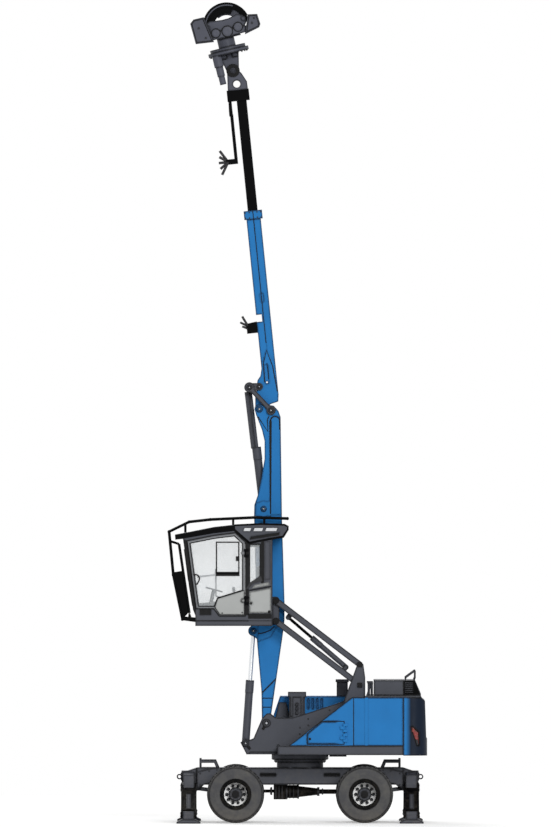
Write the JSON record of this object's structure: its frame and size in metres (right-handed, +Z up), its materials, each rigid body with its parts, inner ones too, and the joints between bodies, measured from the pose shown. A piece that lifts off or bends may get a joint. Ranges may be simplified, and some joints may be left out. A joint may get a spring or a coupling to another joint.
{
  "type": "telescopic material handler",
  "caption": "Wheeled handler with outriggers, slewing upper, rising cab, boom, telescopic stick and felling grapple, each on its own joint.",
  "frame": {"origin": "slew axis at ground level", "axes": "+X to the rear of the machine, +Y to its right side, +Z up"},
  "size_m": [4.9348, 3.415, 15.6119],
  "materials": {
    "grey_paint": "satin paint",
    "blue_paint": "gloss paint",
    "black_paint": "satin paint",
    "white_paint": "satin paint",
    "pale_paint": "satin paint",
    "seat_trim": "woven",
    "tyre": "matt",
    "chrome": "polished",
    "lamp_lens": "gloss",
    "glass": "clear"
  },
  "bodies": {
    "undercarriage": {"chassis": "grey_paint", "axles": "grey_paint", "driveline": "black_paint"},
    "steer_left": {"knuckle_left": "grey_paint"},
    "steer_right": {"knuckle_right": "grey_paint"},
    "wheel_front_left": {"tyre_front_left": "tyre", "rim_front_left": "white_paint"},
    "wheel_front_right": {"tyre_front_right": "tyre", "rim_front_right": "white_paint"},
    "wheel_rear_left": {"tyre_rear_left": "tyre", "rim_rear_left": "white_paint"},
    "wheel_rear_right": {"tyre_rear_right": "tyre", "rim_rear_right": "white_paint"},
    "outrigger_front_left": {"arm_front_left": "grey_paint"},
    "foot_front_left": {"pad_front_left": "grey_paint"},
    "outrigger_front_right": {"arm_front_right": "grey_paint"},
    "foot_front_right": {"pad_front_right": "grey_paint"},
    "outrigger_rear_left": {"arm_rear_left": "grey_paint"},
    "foot_rear_left": {"pad_rear_left": "grey_paint"},
    "outrigger_rear_right": {"arm_rear_right": "grey_paint"},
    "foot_rear_right": {"pad_rear_right": "grey_paint"},
    "upper": {"upper_frame": "grey_paint", "main_plates": "grey_paint", "cab_tower": "grey_paint", "counterweight": "blue_paint", "left_body": "blue_paint", "right_body": "blue_paint", "engine_house": "blue_paint", "engine_block": "grey_paint", "valve_block": "grey_paint", "air_cleaner": "grey_paint", "rear_lamps": "lamp_lens"},
    "hood": {"engine_hood": "grey_paint"},
    "service_door": {"service_door": "blue_paint"},
    "boom": {"boom": "blue_paint"},
    "boom_barrels": {"boom_barrels": "grey_paint"},
    "boom_rods": {"boom_rods": "chrome"},
    "stick": {"stick": "blue_paint", "stick_fittings": "black_paint"},
    "idlers": {"idlers": "grey_paint"},
    "push_links": {"push_links": "grey_paint"},
    "stick_barrel": {"stick_barrel": "grey_paint"},
    "stick_rod": {"stick_rod": "grey_paint"},
    "telescope": {"telescope": "black_paint"},
    "tilt": {"tilt_frame": "grey_paint"},
    "grapple": {"grapple_frame": "black_paint"},
    "claw_left": {"claw_left": "black_paint"},
    "claw_right": {"claw_right": "black_paint"},
    "lift_upper": {"lift_arm_upper": "grey_paint"},
    "lift_lower": {"lift_arm_lower": "grey_paint"},
    "cab": {"cab_shell": "grey_paint", "cab_panels": "pale_paint", "cab_glass": "glass", "cab_guard": "black_paint", "cab_seat": "seat_trim"},
    "lift_barrel": {"lift_barrel": "grey_paint"},
    "lift_rod": {"lift_rod": "chrome"},
    "cab_door": {"cab_door": "grey_paint", "door_glass": "glass"}
  },
  "joints": [
    {"name": "steer_left", "type": "hinge", "parent": "undercarriage", "child": "steer_left", "pos_m": [-1.225, -0.59, 0.545], "axis": [0, 0, 1], "range_deg": [-20, 20]},
    {"name": "steer_right", "type": "hinge", "parent": "undercarriage", "child": "steer_right", "pos_m": [-1.225, 0.59, 0.545], "axis": [0, 0, 1], "range_deg": [-20, 20]},
    {"name": "spin_front_left", "type": "hinge", "parent": "steer_left", "child": "wheel_front_left", "pos_m": [-1.225, -0.945, 0.545], "axis": [0, 1, 0], "continuous": true},
    {"name": "spin_front_right", "type": "hinge", "parent": "steer_right", "child": "wheel_front_right", "pos_m": [-1.225, 0.945, 0.545], "axis": [0, 1, 0], "continuous": true},
    {"name": "spin_rear_left", "type": "hinge", "parent": "undercarriage", "child": "wheel_rear_left", "pos_m": [1.225, -0.945, 0.545], "axis": [0, 1, 0], "continuous": true},
    {"name": "spin_rear_right", "type": "hinge", "parent": "undercarriage", "child": "wheel_rear_right", "pos_m": [1.225, 0.945, 0.545], "axis": [0, 1, 0], "continuous": true},
    {"name": "outrigger_front_left", "type": "hinge", "parent": "undercarriage", "child": "outrigger_front_left", "pos_m": [-2.1185, -0.43, 0.66], "axis": [-1, 0, 0], "range_deg": [0, 45]},
    {"name": "foot_front_left", "type": "hinge", "parent": "outrigger_front_left", "child": "foot_front_left", "pos_m": [-2.1185, -1.48, 0.162], "axis": [-1, 0, 0], "range_deg": [-22.5, 0]},
    {"name": "outrigger_front_right", "type": "hinge", "parent": "undercarriage", "child": "outrigger_front_right", "pos_m": [-2.1185, 0.43, 0.66], "axis": [1, 0, 0], "range_deg": [0, 45]},
    {"name": "foot_front_right", "type": "hinge", "parent": "outrigger_front_right", "child": "foot_front_right", "pos_m": [-2.1185, 1.48, 0.162], "axis": [1, 0, 0], "range_deg": [-22.5, 0]},
    {"name": "outrigger_rear_left", "type": "hinge", "parent": "undercarriage", "child": "outrigger_rear_left", "pos_m": [2.1185, -0.43, 0.66], "axis": [-1, 0, 0], "range_deg": [0, 45]},
    {"name": "foot_rear_left", "type": "hinge", "parent": "outrigger_rear_left", "child": "foot_rear_left", "pos_m": [2.1185, -1.48, 0.162], "axis": [-1, 0, 0], "range_deg": [-22.5, 0]},
    {"name": "outrigger_rear_right", "type": "hinge", "parent": "undercarriage", "child": "outrigger_rear_right", "pos_m": [2.1185, 0.43, 0.66], "axis": [1, 0, 0], "range_deg": [0, 45]},
    {"name": "foot_rear_right", "type": "hinge", "parent": "outrigger_rear_right", "child": "foot_rear_right", "pos_m": [2.1185, 1.48, 0.162], "axis": [1, 0, 0], "range_deg": [-22.5, 0]},
    {"name": "slew", "type": "hinge", "parent": "undercarriage", "child": "upper", "pos_m": [0, 0, 1.198], "axis": [0, 0, 1], "continuous": true},
    {"name": "hood", "type": "hinge", "parent": "upper", "child": "hood", "pos_m": [2.297, 0, 2.387], "axis": [0, 1, 0], "range_deg": [0, 60]},
    {"name": "service_door", "type": "hinge", "parent": "upper", "child": "service_door", "pos_m": [0.832, -1.27, 1.716], "axis": [0, 0, 1], "range_deg": [0, 110]},
    {"name": "boom", "type": "hinge", "parent": "upper", "child": "boom", "pos_m": [-0.638, 0, 1.888], "axis": [0, -1, 0], "range_deg": [0, 90]},
    {"name": "boom_barrels", "type": "hinge", "parent": "upper", "child": "boom_barrels", "pos_m": [-1.036, 0, 1.501], "axis": [0, -1, 0], "range_deg": [0, 90]},
    {"name": "boom_rods", "type": "slide", "parent": "boom_barrels", "child": "boom_rods", "axis": [0.0694, 0, 0.9976], "range_m": [-0.79, 0]},
    {"name": "stick", "type": "hinge", "parent": "boom", "child": "stick", "pos_m": [-0.772, 0, 7.866], "axis": [0, 1, 0], "range_deg": [-140, 0]},
    {"name": "idlers", "type": "hinge", "parent": "boom", "child": "idlers", "pos_m": [-0.551, 0, 7.841], "axis": [0, 1, 0], "range_deg": [-98, 0]},
    {"name": "push_links", "type": "hinge", "parent": "stick", "child": "push_links", "pos_m": [-0.775, 0, 8.294], "axis": [0, 1, 0], "range_deg": [-8, 0]},
    {"name": "stick_barrel", "type": "hinge", "parent": "boom", "child": "stick_barrel", "pos_m": [-0.693, 0, 5.966], "axis": [0, 1, 0], "range_deg": [-10, 0]},
    {"name": "stick_rod", "type": "slide", "parent": "stick_barrel", "child": "stick_rod", "axis": [-0.1164, 0, 0.9932], "range_m": [-0.9, 0]},
    {"name": "telescope", "type": "slide", "parent": "stick", "child": "telescope", "axis": [-0.1005, 0, 0.9949], "range_m": [-2, 0.3]},
    {"name": "head_tilt", "type": "hinge", "parent": "telescope", "child": "tilt", "pos_m": [-1.2767, 0, 14.31292], "axis": [0, 1, 0], "range_deg": [-60, 30]},
    {"name": "head_slew", "type": "hinge", "parent": "tilt", "child": "grapple", "pos_m": [-1.2767, 0, 14.31292], "axis": [-0.23, 0, 0.9732], "continuous": true},
    {"name": "claw_left", "type": "hinge", "parent": "grapple", "child": "claw_left", "pos_m": [-1.75806, 0, 15.11469], "axis": [0, -1, 0], "range_deg": [0, 60]},
    {"name": "claw_right", "type": "hinge", "parent": "grapple", "child": "claw_right", "pos_m": [-1.08082, 0, 15.30561], "axis": [0, 1, 0], "range_deg": [0, 60]},
    {"name": "cab_lift", "type": "hinge", "parent": "upper", "child": "lift_upper", "pos_m": [1.135, -0.475, 3.006], "axis": [0, 1, 0], "range_deg": [-72, 0]},
    {"name": "lift_lower", "type": "hinge", "parent": "upper", "child": "lift_lower", "pos_m": [1.135, -0.475, 2.616], "axis": [0, 1, 0], "range_deg": [-72, 0]},
    {"name": "cab_level", "type": "hinge", "parent": "lift_upper", "child": "cab", "pos_m": [-0.461, -0.475, 4.224], "axis": [0, 1, 0], "range_deg": [0, 72]},
    {"name": "lift_barrel", "type": "hinge", "parent": "lift_lower", "child": "lift_barrel", "pos_m": [0.87183, -0.475, 2.95521], "axis": [0, 1, 0], "range_deg": [0, 4.5]},
    {"name": "lift_rod", "type": "slide", "parent": "lift_barrel", "child": "lift_rod", "axis": [-0.7566, 0, 0.6539], "range_m": [-0.46, 0]},
    {"name": "cab_door", "type": "hinge", "parent": "cab", "child": "cab_door", "pos_m": [-1.047, -1.29, 4.65], "axis": [0, 0, 1], "range_deg": [0, 100]}
  ],
  "couplings": [
    {"joint": "steer_right", "follows": "steer_left", "ratio": 1},
    {"joint": "foot_front_left", "follows": "outrigger_front_left", "ratio": -0.5},
    {"joint": "foot_front_right", "follows": "outrigger_front_right", "ratio": -0.5},
    {"joint": "foot_rear_left", "follows": "outrigger_rear_left", "ratio": -0.5},
    {"joint": "foot_rear_right", "follows": "outrigger_rear_right", "ratio": -0.5},
    {"joint": "boom_barrels", "follows": "boom", "ratio": 0.985},
    {"joint": "boom_rods", "follows": "boom", "m_per_rad": -0.49274},
    {"joint": "idlers", "follows": "stick", "ratio": 0.69},
    {"joint": "push_links", "follows": "stick", "ratio": 0.05},
    {"joint": "stick_barrel", "follows": "stick", "ratio": 0.07},
    {"joint": "stick_rod", "follows": "stick", "m_per_rad": 0.36383},
    {"joint": "claw_right", "follows": "claw_left", "ratio": 1},
    {"joint": "lift_lower", "follows": "cab_lift", "ratio": 1},
    {"joint": "cab_level", "follows": "cab_lift", "ratio": -1},
    {"joint": "lift_barrel", "follows": "cab_lift", "ratio": -0.04},
    {"joint": "lift_rod", "follows": "cab_lift", "m_per_rad": 0.36268}
  ]
}
